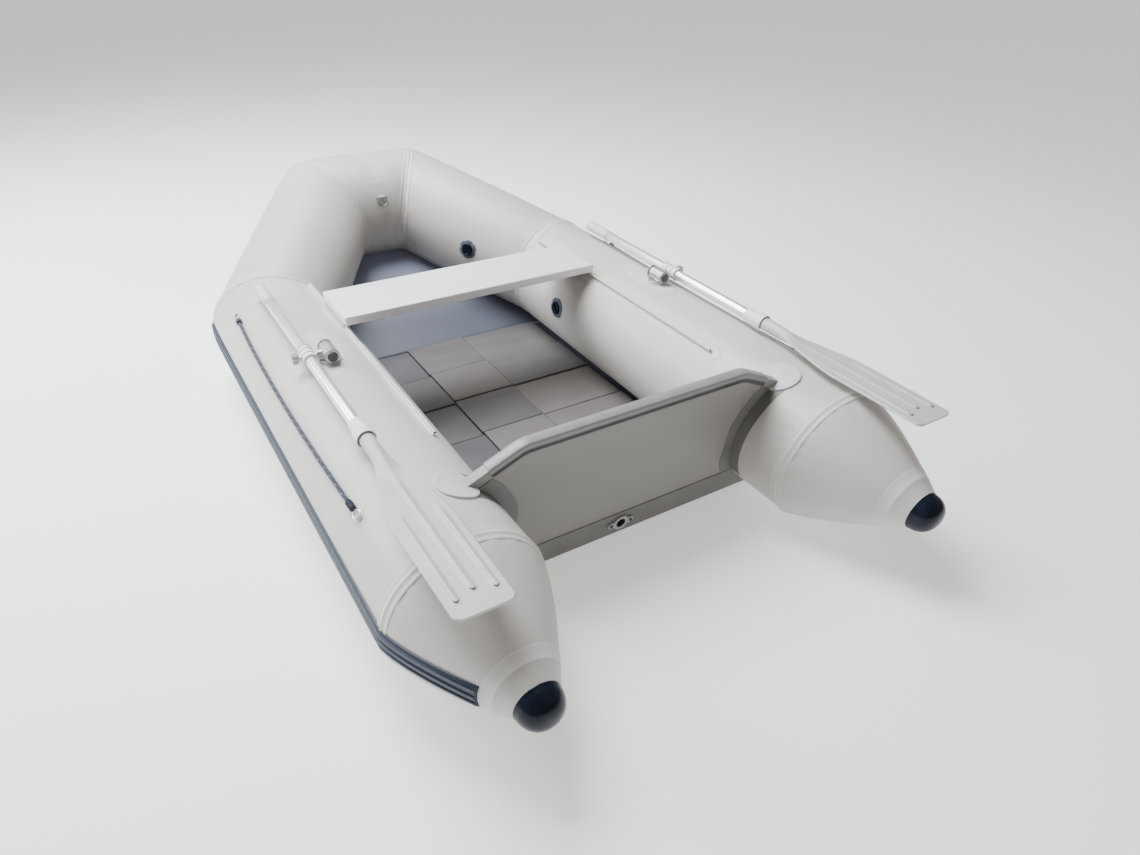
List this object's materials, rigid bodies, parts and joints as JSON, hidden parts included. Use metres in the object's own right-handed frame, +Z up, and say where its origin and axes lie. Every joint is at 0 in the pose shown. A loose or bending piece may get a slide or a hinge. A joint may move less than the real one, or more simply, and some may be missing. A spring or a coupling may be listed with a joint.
{
  "type": "inflatable dinghy",
  "caption": "Inflatable dinghy with mitred bow, stern cones, plywood transom, slatted floor, sliding bench seat, oars on swivelling rowlocks, grab ropes and air valves.",
  "frame": {"origin": "under the middle of the boat, on the surface it stands on", "axes": "+X starboard, +Y towards the bow, +Z up"},
  "size_m": [1.366, 2.2755, 0.503],
  "materials": {
    "tube_fabric": "satin coated fabric, warm light grey",
    "tape_fabric": "satin coated fabric tape, light grey",
    "navy_moulding": "glossy moulded plastic, near-black navy",
    "strake_rubber": "extruded rubbing strip, navy, ribs lighter",
    "bottom_fabric": "coated fabric, blue-grey",
    "floor_board": "plywood boards, grey-mauve coating",
    "transom_ply": "plywood, satin mid grey paint",
    "trim_plastic": "flexible edge trim, light grey",
    "gusset_fabric": "coated fabric strip, dark grey",
    "fitting_plastic": "moulded fitting, grey",
    "white_plastic": "moulded plastic, white",
    "oar_tube": "anodised tube, bright silver",
    "blade_plastic": "moulded blade, light grey",
    "grip_plastic": "moulded grip, light grey",
    "steel": "stainless steel",
    "rope_navy": "braided cord, navy with light flecks",
    "seat_board": "plywood plank, satin silver-white paint"
  },
  "bodies": {
    "hull": {"bottom_fabric": "bottom_fabric", "bow_bottom_fabric": "bottom_fabric", "bow_ring_patch": "tape_fabric", "bow_tube": "tube_fabric", "chamber_baffles": "tube_fabric", "drain_body": "fitting_plastic", "drain_screws": "steel", "floor_slats_centre": "floor_board", "floor_slats_port": "floor_board", "floor_slats_starboard": "floor_board", "glued_patches": "tape_fabric", "port_grab_rope": "rope_navy", "port_rub_strake": "strake_rubber", "port_seat_rail": "fitting_plastic", "port_side_tube": "tube_fabric", "port_stern_cap": "navy_moulding", "rope_ends": "rope_navy", "rope_rings": "steel", "rowlock_pads": "fitting_plastic", "seam_tapes": "tape_fabric", "starboard_grab_rope": "rope_navy", "starboard_rub_strake": "strake_rubber", "starboard_seat_rail": "fitting_plastic", "starboard_side_tube": "tube_fabric", "starboard_stern_cap": "navy_moulding", "transom_board": "transom_ply", "transom_bottom_band": "gusset_fabric", "transom_corner_discs": "tape_fabric", "transom_gussets": "gusset_fabric", "transom_trim": "trim_plastic", "valve_bodies": "navy_moulding"},
    "seat": {"seat_plank": "seat_board", "seat_screws": "steel", "port_seat_hook": "fitting_plastic", "starboard_seat_hook": "fitting_plastic"},
    "drain_stopper": {"drain_plug": "navy_moulding"},
    "lifting_ring": {"bow_ring": "steel"},
    "port_swivel": {"port_rowlock_swivel": "fitting_plastic", "port_oar_pin": "steel"},
    "port_oar": {"port_oar_shaft": "oar_tube", "port_oar_grip": "grip_plastic", "port_oar_collar": "white_plastic", "port_oar_blade": "blade_plastic", "port_oar_cuff": "white_plastic"},
    "port_knob": {"port_oar_knob": "fitting_plastic"},
    "starboard_swivel": {"starboard_rowlock_swivel": "fitting_plastic", "starboard_oar_pin": "steel"},
    "starboard_oar": {"starboard_oar_shaft": "oar_tube", "starboard_oar_grip": "grip_plastic", "starboard_oar_collar": "white_plastic", "starboard_oar_blade": "blade_plastic", "starboard_oar_cuff": "white_plastic"},
    "starboard_knob": {"starboard_oar_knob": "fitting_plastic"},
    "port_valve_lid": {"valve_cap_port": "navy_moulding"},
    "port_valve_stem": {"valve_poppet_port": "fitting_plastic"},
    "starboard_valve_lid": {"valve_cap_starboard": "navy_moulding"},
    "starboard_valve_stem": {"valve_poppet_starboard": "fitting_plastic"},
    "bow_valve_lid": {"valve_cap_bow": "navy_moulding"},
    "bow_valve_stem": {"valve_poppet_bow": "fitting_plastic"}
  },
  "joints": [
    {"name": "starboard_oar_swing", "type": "hinge", "parent": "hull", "child": "starboard_swivel", "pos_m": [0.502, -0.1165, 0.371], "axis": [0, 0, 1], "range_deg": [-4, 120]},
    {"name": "starboard_oar_lift", "type": "hinge", "parent": "starboard_swivel", "child": "starboard_oar", "pos_m": [0.553, -0.1165, 0.371], "axis": [1, 0, 0], "range_deg": [-1.8, 1]},
    {"name": "starboard_knob_turn", "type": "hinge", "parent": "starboard_swivel", "child": "starboard_knob", "pos_m": [0.58, -0.1165, 0.371], "axis": [1, 0, 0], "continuous": true},
    {"name": "port_oar_swing", "type": "hinge", "parent": "hull", "child": "port_swivel", "pos_m": [-0.502, -0.1165, 0.371], "axis": [0, 0, -1], "range_deg": [-4, 120]},
    {"name": "port_oar_lift", "type": "hinge", "parent": "port_swivel", "child": "port_oar", "pos_m": [-0.553, -0.1165, 0.371], "axis": [1, 0, 0], "range_deg": [-1.8, 1]},
    {"name": "port_knob_turn", "type": "hinge", "parent": "port_swivel", "child": "port_knob", "pos_m": [-0.58, -0.1165, 0.371], "axis": [-1, 0, 0], "continuous": true},
    {"name": "seat_slide", "type": "slide", "parent": "hull", "child": "seat", "axis": [0, 1, 0], "range_m": [-0.55, 0.13]},
    {"name": "starboard_valve_lid_turn", "type": "hinge", "parent": "hull", "child": "starboard_valve_lid", "pos_m": [0.32966, 0.1525, 0.18908], "axis": [-0.9962, 0, 0.0872], "range_deg": [0, 90]},
    {"name": "starboard_valve_stem_push", "type": "slide", "parent": "hull", "child": "starboard_valve_stem", "axis": [0.9962, 0, -0.0872], "range_m": [0, 0.004], "stiffness_N_per_m": 600, "springref_m": -0.002},
    {"name": "port_valve_lid_turn", "type": "hinge", "parent": "hull", "child": "port_valve_lid", "pos_m": [-0.32966, 0.1525, 0.18908], "axis": [0.9962, 0, 0.0872], "range_deg": [0, 90]},
    {"name": "port_valve_stem_push", "type": "slide", "parent": "hull", "child": "port_valve_stem", "axis": [-0.9962, 0, -0.0872], "range_m": [0, 0.004], "stiffness_N_per_m": 600, "springref_m": -0.002},
    {"name": "bow_valve_lid_turn", "type": "hinge", "parent": "hull", "child": "bow_valve_lid", "pos_m": [0.21993, 0.57338, 0.2566], "axis": [-0.7953, -0.5977, 0.1011], "range_deg": [0, 90]},
    {"name": "bow_valve_stem_push", "type": "slide", "parent": "hull", "child": "bow_valve_stem", "axis": [0.7953, 0.5977, -0.1011], "range_m": [0, 0.004], "stiffness_N_per_m": 600, "springref_m": -0.002},
    {"name": "drain_plug_pull", "type": "slide", "parent": "hull", "child": "drain_stopper", "axis": [0, 0.9976, 0.0698], "range_m": [0, 0.03]},
    {"name": "bow_ring_swing", "type": "hinge", "parent": "hull", "child": "lifting_ring", "pos_m": [0, 0.79306, 0.40221], "axis": [-1, 0, 0], "range_deg": [0, 150]}
  ]
}
